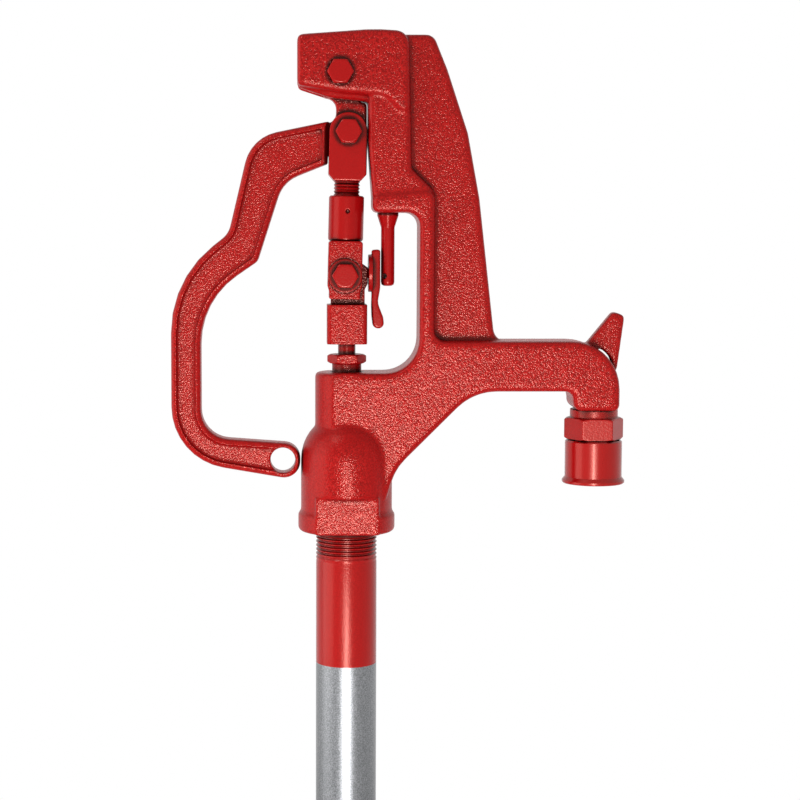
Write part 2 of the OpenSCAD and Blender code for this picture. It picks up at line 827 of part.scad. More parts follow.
module link_sleeve() {
    color(enamel)
        on_link()
            difference() {
                turned([[0, fork_top], [sleeve_r - 0.6, fork_top], [sleeve_r, fork_top + 1],
                        [sleeve_r, sleeve_top - 0.8], [sleeve_r - 0.8, sleeve_top], [0, sleeve_top]]);
                z_bar(stud_r + seat_gap, sleeve_top - 11.5, sleeve_top + past);
                z_bar(fork_shank_r + seat_gap, fork_top - past, fork_top + 10.5);
                y_bar([0.6, sleeve_top - 8.6], 1.1, -link_w, -sleeve_r + 1.4);
            }
}

fork_shank_r = 5.6;

module lower_fork() {
    w = fork_w / 2;
    outline = [
        [0.9 - w, -12.6], [w - 0.9, -12.6], [w - 0.9, -8.8], [w, -6],
        [w, fork_top - 1], [w - 1, fork_top], [1 - w, fork_top], [-w, fork_top - 1],
        [-w, -6], [0.9 - w, -8.8]];
    color(enamel)
        on_link()
            difference() {
                union() {
                    plate(outline, link_t);
                    z_bar(fork_shank_r, fork_top - past, fork_top + 10);
                }
                translate([-fork_w, -slot_t / 2, -fork_w])
                    cube([2 * fork_w, slot_t, fork_w + 11]);
                y_bar([0, 0], bolt_r + seat_gap, -link_t, link_t);
            }
}

// Rod coupler, its set screws and the thumb screw

coupler_top = coupler_z + coupler_h;
coupler_bore_r = rod_r + 1.55;
ear_x = 11.2;
thumb_z = lower_pin_z + 1.2;
thumb_shank_r = 2.5;

module rod_coupler() {
    w = coupler_w / 2;
    t = coupler_t / 2;
    tongue_outline = [
        [-8.8, coupler_top - 2], [9.6, coupler_top - 2], [9.6, lower_pin_z - 7.5],
        [ear_x, lower_pin_z - 4.5], [ear_x, lower_pin_z + 4.4], [6, lower_pin_z + 8],
        [-lower_pin_x, lower_pin_z + 7], [-8.4, lower_pin_z], [-8.8, lower_pin_z - 5]];
    color(enamel)
        on_foot()
            difference() {
                union() {
                    translate([0, 0, coupler_z])
                        linear_extrude(height = coupler_h)
                            polygon(rounded([[-w, -t, 2.4], [w, -t, 2.4], [w, t, 2.4], [-w, t, 2.4]]));
                    plate(tongue_outline, tongue_t);
                    y_bar(lower_pin, 8.6, -tongue_t / 2, tongue_t / 2);
                }
                z_bar(coupler_bore_r, coupler_z - past, coupler_top - 1);
                y_bar(lower_pin, bolt_r + running_fit, -link_t, link_t);
                x_bar(thumb_z, thumb_shank_r + seat_gap, ear_x - 4.8, ear_x + past);
                for (z = set_screw_z)
                    y_bar([0, z], set_screw_r + seat_gap, 0, coupler_t);
            }
}

set_screw_z = [coupler_z + 5.5, coupler_z + 15.5];

module set_screws() {
    color(steel)
        on_foot()
            for (z = set_screw_z)
                difference() {
                    y_bar([0, z], set_screw_r, coupler_bore_r + 0.4, coupler_t / 2 + 0.8);
                    translate([-set_screw_r - past, coupler_t / 2, z - 0.5])
                        cube([2 * set_screw_r + 2 * past, past, 1]);
                }
}

module thumb_screw() {
    flange_x = ear_x + 0.4;
    flange_r = 10.2;
    wing_x = flange_x + 2.2;
    wing = [
        [wing_x - 0.4, 12.7, 1.2], [wing_x - 0.4, -10, 0], [wing_x - 0.6, -17, 12],
        [wing_x - 0.4, -23.2, 8], [wing_x + 0.5, -30, 2.9], [wing_x + 6.6, -30, 2.9],
        [wing_x + 6, -24, 3.5], [wing_x + 2.9, -16, 8], [wing_x + 4.3, -8, 8], [wing_x + 4.3, 13, 1.4]];
    color(enamel)
        on_foot()
            translate([0, 0, thumb_z])
                union() {
                    x_bar(0, thumb_shank_r, ear_x - 4.6, wing_x);
                    x_bar(0, flange_r, flange_x, wing_x);
                    rounded_plate(wing, 7.6, 1.1);
                }
}

// Rod, plunger and valve body

ring_minor_r = 1.25;
ring_margin = 0.95;
piston_land = 2.1;
seal_h = 6;
disc_h = 3;
upper_ring_z = seat_z + 28.3;
port_z = upper_ring_z + ring_minor_r + ring_margin + drain_r;
lower_ring_z = port_z - drain_r - ring_margin - ring_minor_r - rod_lift;
pipe_foot_z = port_z + drain_r + 3.7;
valve_top_z = pipe_foot_z + pipe_engage;
piston_r = chamber_r - 0.2;
piston_foot_z = lower_ring_z - piston_land;
piston_top_z = upper_ring_z + piston_land;
seal_z = seat_z + seat_gap;
neck_top_z = piston_top_z + 4;
rod_foot_z = piston_top_z - 9;

module valve_body() {
    boss_x = valve_r + 2.5;
    color(brass)
        difference() {
            union() {
                hex_bar(inlet_af, inlet_len + 2, 0.8);
                turned([[0, inlet_len], [valve_r - 2, inlet_len], [valve_r - 2, pipe_foot_z - 9],
                        [valve_r, pipe_foot_z - 6], [valve_r, valve_top_z - 1], [valve_r - 1, valve_top_z],
                        [0, valve_top_z]]);
                x_bar(port_z, drain_r + 3.7, chamber_r, boss_x);
            }
            z_bar(inlet_r, -past, inlet_len);
            z_bar(seat_r, inlet_len - past, seat_z + past);
            z_bar(chamber_r, seat_z, pipe_foot_z + past);
            z_bar(pipe_r + seat_gap, pipe_foot_z, valve_top_z + past);
            x_bar(port_z, drain_r, 0, boss_x + past);
        }
}

module operating_rod() {
    color(enamel)
        turned([[0, rod_foot_z], [rod_r, rod_foot_z], [rod_r, foot_z + coupler_z + 12.4],
                [rod_r - 0.8, foot_z + coupler_z + 13.2], [0, foot_z + coupler_z + 13.2]]);
}

module rod_jam_nut() {
    color(steel)
        difference() {
            translate([0, 0, neck_top_z])
                hex_bar(2 * rod_r + 4.4, 5, 0.5);
            z_bar(rod_r + seat_gap, neck_top_z - past, neck_top_z + 6);
        }
}

module plunger() {
    color(brass)
        difference() {
            turned([[0, seal_z + seal_h], [11, seal_z + seal_h], [11, seal_z + seal_h + disc_h],
                    [6, seal_z + seal_h + disc_h], [6, piston_foot_z], [piston_r, piston_foot_z],
                    [piston_r, piston_top_z], [rod_r + 1.9, piston_top_z], [rod_r + 1.9, neck_top_z],
                    [0, neck_top_z]]);
            z_bar(rod_r + seat_gap, rod_foot_z, neck_top_z + past);
            z_bar(2.55, seal_z, seal_z + seal_h + 11);
            for (z = [lower_ring_z, upper_ring_z])
                rotate_extrude()
                    translate([piston_r - 2.4, z - 1.5])
                        square([4, 3]);
            for (a = [45:90:315])
                rotate([0, 0, a])
                    translate([piston_r - 4.6, 0, piston_foot_z - past])
                        cylinder(r = 1.8, h = piston_top_z - piston_foot_z + 2 * past);
        }
}

module plunger_rings() {
    color(rubber)
        for (z = [lower_ring_z, upper_ring_z])
            rotate_extrude()
                translate([chamber_r - running_fit - ring_minor_r, z])
                    circle(r = ring_minor_r);
}

module plunger_seal() {
    color(rubber)
        difference() {
            z_bar(11, seal_z, seal_z + seal_h);
            z_bar(2.55, seal_z - past, seal_z + seal_h + past);
        }
}

module seal_screw() {
    color(brass)
        union() {
            z_bar(5, seal_z - 3, seal_z);
            z_bar(2.5, seal_z - past, seal_z + seal_h + 10);
        }
}

head_casting();
casing_pipe();
valve_body();
packing_nut();
packing_ring();
packing_washer();
nozzle();
fulcrum_bolt();
fulcrum_nut();
guide_pin();
lever();
upper_clevis();
link_stud();
link_sleeve();
lower_fork();
clevis_bolt();
clevis_nut();
fork_bolt();
fork_washer();
fork_nut();
rod_coupler();
set_screws();
operating_rod();
rod_jam_nut();
plunger();
plunger_rings();
plunger_seal();
seal_screw();
thumb_screw();
thread_cap();
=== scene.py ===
# Frost-free yard hydrant: finishes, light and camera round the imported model
import json
import math
import bpy
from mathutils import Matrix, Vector

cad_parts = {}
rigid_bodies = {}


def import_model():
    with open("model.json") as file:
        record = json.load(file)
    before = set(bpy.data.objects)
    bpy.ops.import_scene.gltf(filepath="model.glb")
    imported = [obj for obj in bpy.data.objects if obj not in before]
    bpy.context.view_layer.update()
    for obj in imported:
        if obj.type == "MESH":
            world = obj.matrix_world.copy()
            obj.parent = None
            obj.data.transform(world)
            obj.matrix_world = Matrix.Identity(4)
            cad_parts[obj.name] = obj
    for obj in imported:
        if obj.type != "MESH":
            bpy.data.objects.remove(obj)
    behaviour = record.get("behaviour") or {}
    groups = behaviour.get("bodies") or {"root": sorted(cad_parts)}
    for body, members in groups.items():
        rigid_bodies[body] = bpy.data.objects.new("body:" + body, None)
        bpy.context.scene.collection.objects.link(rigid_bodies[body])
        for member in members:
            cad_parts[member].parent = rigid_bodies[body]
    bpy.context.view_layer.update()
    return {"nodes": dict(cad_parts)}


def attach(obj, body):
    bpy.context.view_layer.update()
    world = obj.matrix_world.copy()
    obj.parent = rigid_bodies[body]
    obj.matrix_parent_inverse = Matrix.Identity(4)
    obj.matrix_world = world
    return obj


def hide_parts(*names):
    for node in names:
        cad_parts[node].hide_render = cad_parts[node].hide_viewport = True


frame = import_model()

print("frame loaded:", len(frame["nodes"]), "nodes")

mm = 0.001
headFoot = 0.783          # height of the head's foot above the inlet
mergeReach = 0.004 * mm   # corners of a CAD node that lie closer than this are one corner
scene = bpy.context.scene


# Small helpers

def deselectAll():
    for item in bpy.context.view_layer.objects:
        item.select_set(False)


def makeActive(piece):
    deselectAll()
    piece.select_set(True)
    bpy.context.view_layer.objects.active = piece


def applyModifiers(piece):
    makeActive(piece)
    for modifier in list(piece.modifiers):
        bpy.ops.object.modifier_apply(modifier=modifier.name)


def copyOfNode(node, name):
    # a CAD node's mesh is loose triangles, so the copy is merged before it is shaped
    source = frame["nodes"][node]
    piece = bpy.data.objects.new(name, source.data.copy())
    scene.collection.objects.link(piece)
    piece.data.materials.clear()
    makeActive(piece)
    bpy.ops.object.mode_set(mode="EDIT")
    bpy.ops.mesh.select_all(action="SELECT")
    bpy.ops.mesh.remove_doubles(threshold=mergeReach)
    bpy.ops.object.mode_set(mode="OBJECT")
    return piece


def smoothByAngle(piece, degrees):
    makeActive(piece)
    bpy.ops.object.shade_smooth_by_angle(angle=math.radians(degrees))


def dress(piece, node, body, material):
    piece.data.materials.clear()
    piece.data.materials.append(material)
    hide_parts(node)
    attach(piece, body)


# Shader parts that several finishes share

def newGroup(name, inputs, outputs):
    group = bpy.data.node_groups.new(name, "ShaderNodeTree")
    for label, value in inputs:
        socket = group.interface.new_socket(label, in_out="INPUT", socket_type="NodeSocketFloat")
        socket.default_value = value
    for label, kind in outputs:
        group.interface.new_socket(label, in_out="OUTPUT", socket_type=kind)
    enter = group.nodes.new("NodeGroupInput")
    leave = group.nodes.new("NodeGroupOutput")
    return group, enter, leave


def mathNode(tree, operation, first, second, clamp=False):
    node = tree.nodes.new("ShaderNodeMath")
    node.operation = operation
    node.use_clamp = clamp
    for socket, value in zip(node.inputs, (first, second)):
        if isinstance(value, (int, float)):
            socket.default_value = value
        elif value is not None:
            tree.links.new(value, socket)
    return node.outputs[0]


def noiseNode(tree, vector, scale, detail, roughness=0.5):
    node = tree.nodes.new("ShaderNodeTexNoise")
    node.inputs["Detail"].default_value = detail
    node.inputs["Roughness"].default_value = roughness
    if isinstance(scale, (int, float)):
        node.inputs["Scale"].default_value = scale
    else:
        tree.links.new(scale, node.inputs["Scale"])
    tree.links.new(vector, node.inputs["Vector"])
    return node.outputs["Fac"]


def rampNode(tree, value, ends):
    # 0 below the first end, 1 above the second
    node = tree.nodes.new("ShaderNodeMapRange")
    node.interpolation_type = "SMOOTHSTEP"
    node.inputs["From Min"].default_value, node.inputs["From Max"].default_value = ends
    tree.links.new(value, node.inputs["Value"])
    return node.outputs["Result"]


sandGrain = {
    "pimpleScale": 1080.0,        # noise scales: higher is finer
    "pimpleDetail": 0.6,
    "pimpleShare": 0.7,           # shares of the height
    "lumpScale": 640.0,
    "lumpDetail": 1.0,
    "lumpShare": 0.3,
    "speckleRamp": (0.36, 0.64),  # heights between which the colour turns from painted pit shade to a painted glint
    "cloudScale": 38.0,
    "cloudDetail": 3.0,
    "cloudRoughness": 0.55,
}


def sandGrainGroup():
    # the skin of a sand casting under paint: fine pimples over slower lumps
    group, enter, leave = newGroup(
        "sandGrain", [("Size", 1.0)],
        [("Height", "NodeSocketFloat"), ("Speckle", "NodeSocketFloat"), ("Cloud", "NodeSocketFloat")])
    place = group.nodes.new("ShaderNodeTexCoord").outputs["Object"]
    fine = mathNode(group, "DIVIDE", sandGrain["pimpleScale"], enter.outputs["Size"])
    coarse = mathNode(group, "DIVIDE", sandGrain["lumpScale"], enter.outputs["Size"])
    pimples = noiseNode(group, place, fine, sandGrain["pimpleDetail"])
    lumps = noiseNode(group, place, coarse, sandGrain["lumpDetail"])
    pimpleHeight = mathNode(group, "MULTIPLY", pimples, sandGrain["pimpleShare"])
    lumpHeight = mathNode(group, "MULTIPLY", lumps, sandGrain["lumpShare"])
    height = mathNode(group, "ADD", pimpleHeight, lumpHeight)
    cloud = noiseNode(group, place, sandGrain["cloudScale"], sandGrain["cloudDetail"],
                      sandGrain["cloudRoughness"])
    group.links.new(height, leave.inputs["Height"])
    # Speckle: the grain's height as a 0 to 1 ramp, which the enamel uses for painted pit shade and painted
    # glints
    group.links.new(rampNode(group, height, sandGrain["speckleRamp"]), leave.inputs["Speckle"])
    group.links.new(cloud, leave.inputs["Cloud"])
    return group


faceMask = {
    "flatness": 0.78,   # how far a surface has to look along Y to count as the flat front or back
    "steepness": 5.0,   # how fast the mask goes to 1 past that
}


def faceMaskGroup():
    # 1 on the flat front and back of a casting, 0 on its rounded edges and its sides
    group, enter, leave = newGroup(
        "faceMask", [("Flatness", faceMask["flatness"])], [("Mask", "NodeSocketFloat")])
    normal = group.nodes.new("ShaderNodeTexCoord").outputs["Normal"]
    split = group.nodes.new("ShaderNodeSeparateXYZ")
    group.links.new(normal, split.inputs[0])
    facing = mathNode(group, "ABSOLUTE", split.outputs["Y"], None)
    over = mathNode(group, "SUBTRACT", facing, enter.outputs["Flatness"])
    mask = mathNode(group, "MULTIPLY", over, faceMask["steepness"], clamp=True)
    group.links.new(mask, leave.inputs["Mask"])
    return group


groups = {"sandGrain": sandGrainGroup(), "faceMask": faceMaskGroup()}


def placeGroup(tree, name, **values):
    node = tree.nodes.new("ShaderNodeGroup")
    node.node_tree = groups[name]
    for label, value in values.items():
        node.inputs[label].default_value = value
    return node


def newMaterial(name):
    material = bpy.data.materials.new(name)
    material.use_nodes = True
    tree = material.node_tree
    return material, tree, tree.nodes["Principled BSDF"]


def mixColour(tree, factor, first, second):
    node = tree.nodes.new("ShaderNodeMix")
    node.data_type = "RGBA"
    tree.links.new(factor, node.inputs["Factor"])
    for socket, value in ((node.inputs[6], first), (node.inputs[7], second)):
        if isinstance(value, tuple):
            socket.default_value = (*value, 1.0)
        else:
            tree.links.new(value, socket)
    return node.outputs[2]


redPaint = {
    "colour": (0.40, 0.0035, 0.0045),
    "deep": (0.34, 0.0025, 0.0035),
    # painted shade in the grain's pits and a painted glint on its peaks
    "paintedPitShade": (0.24, 0.0018, 0.0024),
    "paintedPeakGlint": (0.47, 0.008, 0.008),
    "paintedCreviceShade": (0.05, 0.0008, 0.001),  # painted shade: near-black colour put where two castings or faces meet, in place of the shadow there
    "creviceShadeReach": 4.0 * mm,
    "creviceShadeRamp": (0.08, 0.29),       # how shut in a place is where the painted shade starts and ends
    "creviceShadeSamples": 8,
    "shineTint": (1.0, 0.45, 0.38),    # the clear top of the enamel is stained by the pigment under it
    "grainSize": 0.82,
    "grainDepth": 0.33 * mm,
}


def creviceShadeMask(tree):
    # painted shade mask: 1 deep in a corner, 0 in the open
    node = tree.nodes.new("ShaderNodeAmbientOcclusion")
    node.samples = redPaint["creviceShadeSamples"]
    node.inputs["Distance"].default_value = redPaint["creviceShadeReach"]
    shutIn = mathNode(tree, "SUBTRACT", 1.0, node.outputs["AO"])
    return rampNode(tree, shutIn, redPaint["creviceShadeRamp"])


def redEnamel(name, grit, roughness, edgeRoughness, floorGrit=0.0, shine=0.3):
    # grit: strength of the grain on flat faces; floorGrit: the share of it that edges and sides get
    material, tree, shader = newMaterial(name)
    grain = placeGroup(tree, "sandGrain", Size=redPaint["grainSize"])
    face = placeGroup(tree, "faceMask").outputs["Mask"]
    mask = mathNode(tree, "MAXIMUM", face, floorGrit)
    cloudy = mixColour(tree, grain.outputs["Cloud"], redPaint["deep"], redPaint["colour"])
    # painted pit shade and painted glints on the grain: its pits darker and its peaks lighter, mostly on the
    # flat faces, over the cloudy tone
    paintedPitsAndGlints = mixColour(tree, grain.outputs["Speckle"], redPaint["paintedPitShade"], redPaint["paintedPeakGlint"])
    cloudWithPaintedPitsAndGlints = mixColour(tree, mathNode(tree, "MULTIPLY", mask, grit), cloudy, paintedPitsAndGlints)
    # painted shade: the colour turns near black in corners and creases, where shade falls
    shaded = mixColour(tree, creviceShadeMask(tree), cloudWithPaintedPitsAndGlints, redPaint["paintedCreviceShade"])
    tree.links.new(shaded, shader.inputs["Base Color"])
    bump = tree.nodes.new("ShaderNodeBump")
    bump.inputs["Distance"].default_value = redPaint["grainDepth"]
    tree.links.new(mathNode(tree, "MULTIPLY", mask, grit), bump.inputs["Strength"])
    tree.links.new(grain.outputs["Height"], bump.inputs["Height"])
    tree.links.new(bump.outputs["Normal"], shader.inputs["Normal"])
    if edgeRoughness == roughness:
        shader.inputs["Roughness"].default_value = roughness
    else:
        edge = mathNode(tree, "SUBTRACT", 1.0, face)
        matte = mathNode(tree, "MULTIPLY", edge, edgeRoughness - roughness)
        tree.links.new(mathNode(tree, "ADD", matte, roughness), shader.inputs["Roughness"])
    shader.inputs["Specular IOR Level"].default_value = shine
    shader.inputs["Specular Tint"].default_value = (*redPaint["shineTint"], 1.0)
    return material


finishes = {
    "castRed": redEnamel("castRed", 1.0, 0.16, edgeRoughness=0.36, floorGrit=0.5, shine=0.35),
    "grittyRed": redEnamel("grittyRed", 0.8, 0.18, edgeRoughness=0.36, floorGrit=0.6),
    "smoothRed": redEnamel("smoothRed", 0.1, 0.2, edgeRoughness=0.3, floorGrit=0.5, shine=0.34),
    "nozzleRed": redEnamel("nozzleRed", 0.3, 0.3, edgeRoughness=0.34, floorGrit=0.5, shine=0.7),
    "pipeRed": redEnamel("pipeRed", 0.35, 0.25, edgeRoughness=0.25, floorGrit=0.5, shine=0.5),
    "capRed": redEnamel("capRed", 0.05, 0.22, edgeRoughness=0.22, shine=0.6),
}

zinc = {
    "dark": (0.10, 0.104, 0.108),
    "light": (0.33, 0.335, 0.345),
    "crystal": (0.30, 0.305, 0.32),
    "frostScale": 1400.0,
    "frostDetail": 3.0,
    "frostRoughness": 0.7,
    "frostRamp": (0.34, 0.66),
    "crystalScale": 260.0,
    "crystalSteepness": 60.0,   # how small the point in the middle of each crystal is
    "crystalShare": 0.25,
    "metallic": 0.9,
    "roughness": 0.24,
    "roughnessSpread": 0.2,
    "frostDepth": 0.1 * mm,
    "bumpStrength": 0.8,
}


def galvanisedZinc():
    # hot-dip zinc: frosted grey with a tiny point in the middle of each crystal
    material, tree, shader = newMaterial("galvanisedZinc")
    place = tree.nodes.new("ShaderNodeTexCoord").outputs["Object"]
    frost = noiseNode(tree, place, zinc["frostScale"], zinc["frostDetail"], zinc["frostRoughness"])
    crystals = tree.nodes.new("ShaderNodeTexVoronoi")
    crystals.inputs["Scale"].default_value = zinc["crystalScale"]
    tree.links.new(place, crystals.inputs["Vector"])
    grey = mixColour(tree, rampNode(tree, frost, zinc["frostRamp"]), zinc["dark"], zinc["light"])
    around = mathNode(tree, "MULTIPLY", crystals.outputs["Distance"], zinc["crystalSteepness"], clamp=True)
    share = mathNode(tree, "MULTIPLY", around, zinc["crystalShare"])
    tree.links.new(mixColour(tree, share, grey, zinc["crystal"]), shader.inputs["Base Color"])
    shader.inputs["Metallic"].default_value = zinc["metallic"]
    dull = mathNode(tree, "MULTIPLY", frost, zinc["roughnessSpread"])
    tree.links.new(mathNode(tree, "ADD", dull, zinc["roughness"]), shader.inputs["Roughness"])
    bump = tree.nodes.new("ShaderNodeBump")
    bump.inputs["Distance"].default_value = zinc["frostDepth"]
    bump.inputs["Strength"].default_value = zinc["bumpStrength"]
    tree.links.new(frost, bump.inputs["Height"])
    tree.links.new(bump.outputs["Normal"], shader.inputs["Normal"])
    return material


metalSkin = {
    "detail": 4.0,
    "noiseRoughness": 0.6,
    "roughnessSpread": 0.2,
    "depth": 0.1 * mm,
    "bumpStrength": 0.25,
}


def metal(name, dark, light, roughness, scale):
    # bare metal with faint clouds in its colour, dullness and height
    material, tree, shader = newMaterial(name)
    place = tree.nodes.new("ShaderNodeTexCoord").outputs["Object"]
    cloud = noiseNode(tree, place, scale, metalSkin["detail"], metalSkin["noiseRoughness"])
    tree.links.new(mixColour(tree, cloud, dark, light), shader.inputs["Base Color"])
    shader.inputs["Metallic"].default_value = 1.0
    dull = mathNode(tree, "MULTIPLY", cloud, metalSkin["roughnessSpread"])
    tree.links.new(mathNode(tree, "ADD", dull, roughness), shader.inputs["Roughness"])
    bump = tree.nodes.new("ShaderNodeBump")
    bump.inputs["Distance"].default_value = metalSkin["depth"]
    bump.inputs["Strength"].default_value = metalSkin["bumpStrength"]
    tree.links.new(cloud, bump.inputs["Height"])
    tree.links.new(bump.outputs["Normal"], shader.inputs["Normal"])
    return material


rubber = {
    "dark": (0.018, 0.018, 0.02),
    "light": (0.04, 0.04, 0.042),
    "scale": 300.0,
    "detail": 3.0,
    "roughness": 0.4,
    "roughnessSpread": 0.25,
}


def blackRubber():
    material, tree, shader = newMaterial("blackRubber")
    place = tree.nodes.new("ShaderNodeTexCoord").outputs["Object"]
    cloud = noiseNode(tree, place, rubber["scale"], rubber["detail"])
    tree.links.new(mixColour(tree, cloud, rubber["dark"], rubber["light"]), shader.inputs["Base Color"])
    dull = mathNode(tree, "MULTIPLY", cloud, rubber["roughnessSpread"])
    tree.links.new(mathNode(tree, "ADD", dull, rubber["roughness"]), shader.inputs["Roughness"])
    return material


finishes["galvanisedZinc"] = galvanisedZinc()
finishes["castBrass"] = metal("castBrass", (0.42, 0.28, 0.10), (0.68, 0.50, 0.22), 0.28, 240.0)
finishes["plainSteel"] = metal("plainSteel", (0.11, 0.11, 0.115), (0.24, 0.24, 0.245), 0.35, 400.0)
finishes["blackRubber"] = blackRubber()
print("finishes made:", len(finishes))


# Castings: the CAD shape with its joints run together and its edges softened, as sand casting leaves them.
# cell is the grid of the new skin in mm, passes the smoothing, keep the share of the faces that stays

castings = {
    "head_casting": {"name": "headCasting", "body": "head", "cell": 0.8, "passes": 6, "keep": 0.64},
    "lever": {"name": "leverCasting", "body": "lever", "cell": 0.6, "passes": 5},
}
smoothFactor = 0.5


def castForm(node, settings):
    piece = copyOfNode(node, settings["name"])
    remesh = piece.modifiers.new("skin", "REMESH")
    remesh.mode = "VOXEL"
    remesh.voxel_size = settings["cell"] * mm
    smooth = piece.modifiers.new("soften", "SMOOTH")
    smooth.factor = smoothFactor
    smooth.iterations = settings["passes"]
    if "keep" in settings:
        piece.modifiers.new("thin", "DECIMATE").ratio = settings["keep"]
    applyModifiers(piece)
    makeActive(piece)
    bpy.ops.object.shade_smooth()
    return piece


for node, settings in castings.items():
    piece = castForm(node, settings)
    dress(piece, node, settings["body"], finishes["castRed"])
    print(settings["name"], "has", len(piece.data.polygons), "faces")


# Small forged and turned pieces: the CAD shape with every edge rounded a little, made as the castings are

softened = {
    "upper_clevis": {"name": "upperClevis", "body": "link", "cell": 0.35, "passes": 5, "finish": "smoothRed"},
    "lower_fork": {"name": "lowerFork", "body": "link", "cell": 0.35, "passes": 5, "finish": "grittyRed"},
    "rod_coupler": {"name": "rodCoupler", "body": "coupler", "cell": 0.35, "passes": 5,
                    "finish": "grittyRed"},
    "link_sleeve": {"name": "linkSleeve", "body": "link", "cell": 0.3, "passes": 3, "finish": "smoothRed"},
    "fulcrum_bolt": {"name": "fulcrumBolt", "body": "head", "cell": 0.28, "passes": 9, "finish": "smoothRed"},
    "clevis_bolt": {"name": "clevisBolt", "body": "link", "cell": 0.28, "passes": 9, "finish": "smoothRed"},
    "fork_bolt": {"name": "forkBolt", "body": "link", "cell": 0.28, "passes": 9, "finish": "smoothRed"},
    "fork_washer": {"name": "forkWasher", "body": "link", "cell": 0.2, "passes": 2, "finish": "smoothRed"},
    "packing_nut": {"name": "packingNut", "body": "head", "cell": 0.3, "passes": 3, "finish": "castRed"},
    "nozzle": {"name": "hoseNozzle", "body": "head", "cell": 0.34, "passes": 3, "finish": "nozzleRed"},
    "guide_pin": {"name": "guidePin", "body": "head", "cell": 0.25, "passes": 4, "finish": "smoothRed"},
    "thumb_screw": {"name": "thumbScrew", "body": "thumb_screw", "cell": 0.25, "passes": 3,
                    "finish": "smoothRed"},
}
for node, settings in softened.items():
    piece = castForm(node, settings)
    dress(piece, node, settings["body"], finishes[settings["finish"]])
print("softened pieces:", len(softened))


# Casing pipe: a plain tube threaded at the top, bare zinc, dipped in red paint down to the paint line

casingPipe = {
    "foot": 76.2 * mm,
    "top": headFoot + 17 * mm,
    "outerRadius": 16.7 * mm,
    "boreRadius": 13.3 * mm,
    "paintLine": headFoot - 73.4 * mm,
    "pitch": 2.21 * mm,
    # depth of each groove, from the collar down; the thread runs out over the last two
    "grooves": [0.8 * mm] * 5 + [0.5 * mm, 0.22 * mm],
    "firstGroove": 1.25,          # the rest in pitches: the first groove's middle below the head's foot,
    "halfMouth": 0.42,            # half of a groove's width at its mouth
    "halfRoot": 0.08,             # and at its root
    "crestWear": 0.04 * mm,
    "endTurnedDown": 0.45 * mm,   # inside the head, where it isn't seen
    "segments": 96,
    "smoothAngle": 25,
    "seamReach": 0.002 * mm,
}


def pipeProfile():
    # radius and height of the tube's wall, up the outside and down the bore
    pipe = casingPipe
    bore = pipe["boreRadius"]
    outside = pipe["outerRadius"]
    points = [(bore, pipe["foot"]), (outside, pipe["foot"]), (outside, pipe["paintLine"])]
    for step, depth in reversed(list(enumerate(pipe["grooves"]))):
        middle = headFoot - (step + pipe["firstGroove"]) * pipe["pitch"]
        mouth = pipe["halfMouth"] * pipe["pitch"]
        root = pipe["halfRoot"] * pipe["pitch"]
        points.append((outside - pipe["crestWear"], middle - mouth))
        points.append((outside - depth, middle - root))
        points.append((outside - depth, middle + root))
        points.append((outside - pipe["crestWear"], middle + mouth))
    end = outside - pipe["endTurnedDown"]
    points += [(end, headFoot), (end, pipe["top"]), (bore, pipe["top"])]
    return points


def turnOnLathe(name, points, segments, seamReach):
    # one corner is drawn round the outline point by point, then spun round the pipe's axis
    bpy.ops.mesh.primitive_plane_add(size=mm, location=(0, 0, 0))
    piece = bpy.context.active_object
    piece.name = name
    bpy.ops.object.mode_set(mode="EDIT")
    bpy.ops.mesh.select_all(action="SELECT")
    bpy.ops.mesh.merge(type="CENTER")
    start = points[0]
    bpy.ops.transform.translate(value=(start[0], 0, start[1]))
    for last, point in zip(points, points[1:] + [start]):
        step = (point[0] - last[0], 0, point[1] - last[1])
        bpy.ops.mesh.extrude_vertices_move(TRANSFORM_OT_translate={"value": step})
    bpy.ops.mesh.select_all(action="SELECT")
    bpy.ops.mesh.spin(steps=segments, angle=2 * math.pi, center=(0, 0, 0), axis=(0, 0, 1))
    bpy.ops.mesh.select_all(action="SELECT")
    bpy.ops.mesh.remove_doubles(threshold=seamReach)
    bpy.ops.mesh.normals_make_consistent(inside=False)
    bpy.ops.object.mode_set(mode="OBJECT")
    return piece


def makeCasingPipe():
    deselectAll()
    pipe = turnOnLathe("casingPipe", pipeProfile(), casingPipe["segments"], casingPipe["seamReach"])
    dress(pipe, "casing_pipe", "head", finishes["galvanisedZinc"])
    pipe.data.materials.append(finishes["pipeRed"])
    for face in pipe.data.polygons:
        if face.center.z > casingPipe["paintLine"]:
            face.material_index = 1      # the paint, the second finish of the pipe
    smoothByAngle(pipe, casingPipe["smoothAngle"])
    print("casingPipe has", len(pipe.data.polygons), "faces")


makeCasingPipe()


# Nodes that keep their CAD shape and get their finish

nodeFinishes = {
    "smoothRed": ["fulcrum_nut", "link_stud", "clevis_nut", "fork_nut", "operating_rod"],
    "capRed": ["thread_cap"],
    "castBrass": ["valve_body", "packing_washer", "plunger", "seal_screw"],
    "plainSteel": ["set_screws", "rod_jam_nut"],
    "blackRubber": ["packing_ring", "plunger_rings", "plunger_seal"],
}
for finish, nodes in nodeFinishes.items():
    for node in nodes:
        mesh = frame["nodes"][node].data
        mesh.materials.clear()
        mesh.materials.append(finishes[finish])


# Floor, light and camera

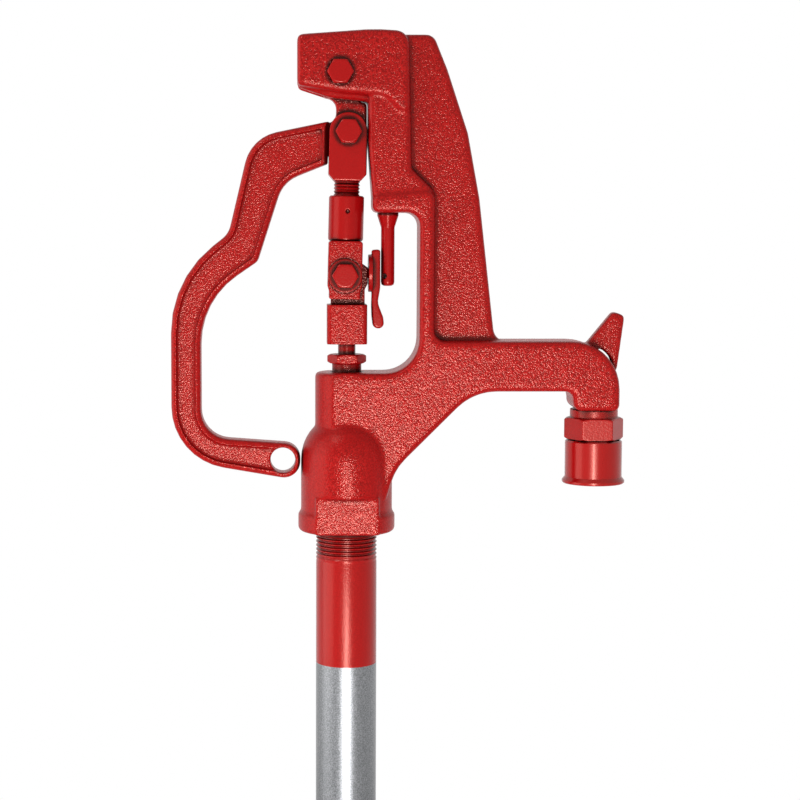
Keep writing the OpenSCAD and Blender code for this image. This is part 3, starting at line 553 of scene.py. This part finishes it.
studio = {
    "worldLight": 0.05,
    "floorColour": (0.82, 0.82, 0.81),
    "floorRoughness": 0.7,
    "floorRadius": 1.8,
    "floorCorners": 96,
    "aim": (0.03, 0, 0.1),        # what the boxes point at, from the head's foot
    # name: power in watts, width and height, place from the head's foot
    "boxes": {
        "frontBox": (5.8, (0.56, 0.44), (-0.01, -1.15, -0.29)),
        "lowStrip": (8.4, (0.05, 0.6), (0.0, -1.14, -0.33)),
        "leftBox": (14.0, (1.4, 1.6), (-1.55, -0.4, 0.25)),
        "topBox": (2.2, (0.22, 0.22), (-0.55, -0.55, 1.0)),
        "rightBox": (3.4, (0.5, 1.0), (1.25, 0.45, 0.25)),
        "backBox": (16.0, (1.0, 1.0), (0.35, 1.5, 0.35)),
    },
    # these fill the far sides, and don't glare in the paint when it is seen at a slant
    "unmirrored": ("rightBox", "backBox"),
}
photoView = {
    "place": (-25.6 * mm, -1.0, headFoot + 164.0 * mm),
    "tilt": 4.6,                # degrees that the lens looks down
    "lens": 82.47,
    "sensor": 36.0,
    "shift": (0.1251, -0.0267),
    "clipStart": 0.05,
}


def seenAsWhite(tree, light):
    # a white background to the camera and in reflections, with no more light on the object
    path = tree.nodes.new("ShaderNodeLightPath")
    seen = mathNode(tree, "ADD", path.outputs["Is Camera Ray"], path.outputs["Is Glossy Ray"])
    seen = mathNode(tree, "ADD", seen, path.outputs["Is Transmission Ray"], clamp=True)
    white = tree.nodes.new("ShaderNodeBackground")
    white.inputs["Color"].default_value = (1, 1, 1, 1)
    white.inputs["Strength"].default_value = 1.0
    mix = tree.nodes.new("ShaderNodeMixShader")
    tree.links.new(seen, mix.inputs["Fac"])
    tree.links.new(light, mix.inputs[1])
    tree.links.new(white.outputs[0], mix.inputs[2])
    return mix.outputs[0]


def makeWorld():
    world = bpy.data.worlds.new("studioWorld")
    world.use_nodes = True
    tree = world.node_tree
    ground = tree.nodes["Background"]
    ground.inputs["Color"].default_value = (1, 1, 1, 1)
    ground.inputs["Strength"].default_value = studio["worldLight"]
    surface = tree.nodes["World Output"].inputs["Surface"]
    tree.links.new(seenAsWhite(tree, ground.outputs[0]), surface)
    scene.world = world


def makeFloor():
    deselectAll()
    bpy.ops.mesh.primitive_circle_add(vertices=studio["floorCorners"], radius=studio["floorRadius"],
                                      fill_type="NGON", location=(0, 0, 0))
    floor = bpy.context.active_object
    floor.name = "studioFloor"
    material, _, shader = newMaterial("paleFloor")
    shader.inputs["Base Color"].default_value = (*studio["floorColour"], 1)
    shader.inputs["Roughness"].default_value = studio["floorRoughness"]
    floor.data.materials.append(material)


def fromHeadFoot(place):
    return (place[0], place[1], headFoot + place[2])


def softbox(name, power, size, place, target):
    lamp = bpy.data.lights.new(name, "AREA")
    lamp.shape = "RECTANGLE"
    lamp.energy = power
    lamp.size, lamp.size_y = size
    item = bpy.data.objects.new(name, lamp)
    scene.collection.objects.link(item)
    item.location = place
    item.rotation_euler = (Vector(target) - Vector(place)).to_track_quat("-Z", "Y").to_euler()
    item.visible_glossy = name not in studio["unmirrored"]


def makeCamera():
    camera = bpy.data.cameras.new("photoCamera")
    item = bpy.data.objects.new("photoCamera", camera)
    scene.collection.objects.link(item)
    item.location = photoView["place"]
    item.rotation_euler = (math.radians(90 - photoView["tilt"]), 0, 0)
    camera.sensor_width = photoView["sensor"]
    camera.lens = photoView["lens"]
    camera.shift_x, camera.shift_y = photoView["shift"]
    camera.clip_start = photoView["clipStart"]
    scene.camera = item


makeWorld()
makeFloor()
for name, (power, size, place) in studio["boxes"].items():
    softbox(name, power, size, fromHeadFoot(place), fromHeadFoot(studio["aim"]))
makeCamera()
scene.view_settings.view_transform = "Standard"
print("floor, light and camera set")
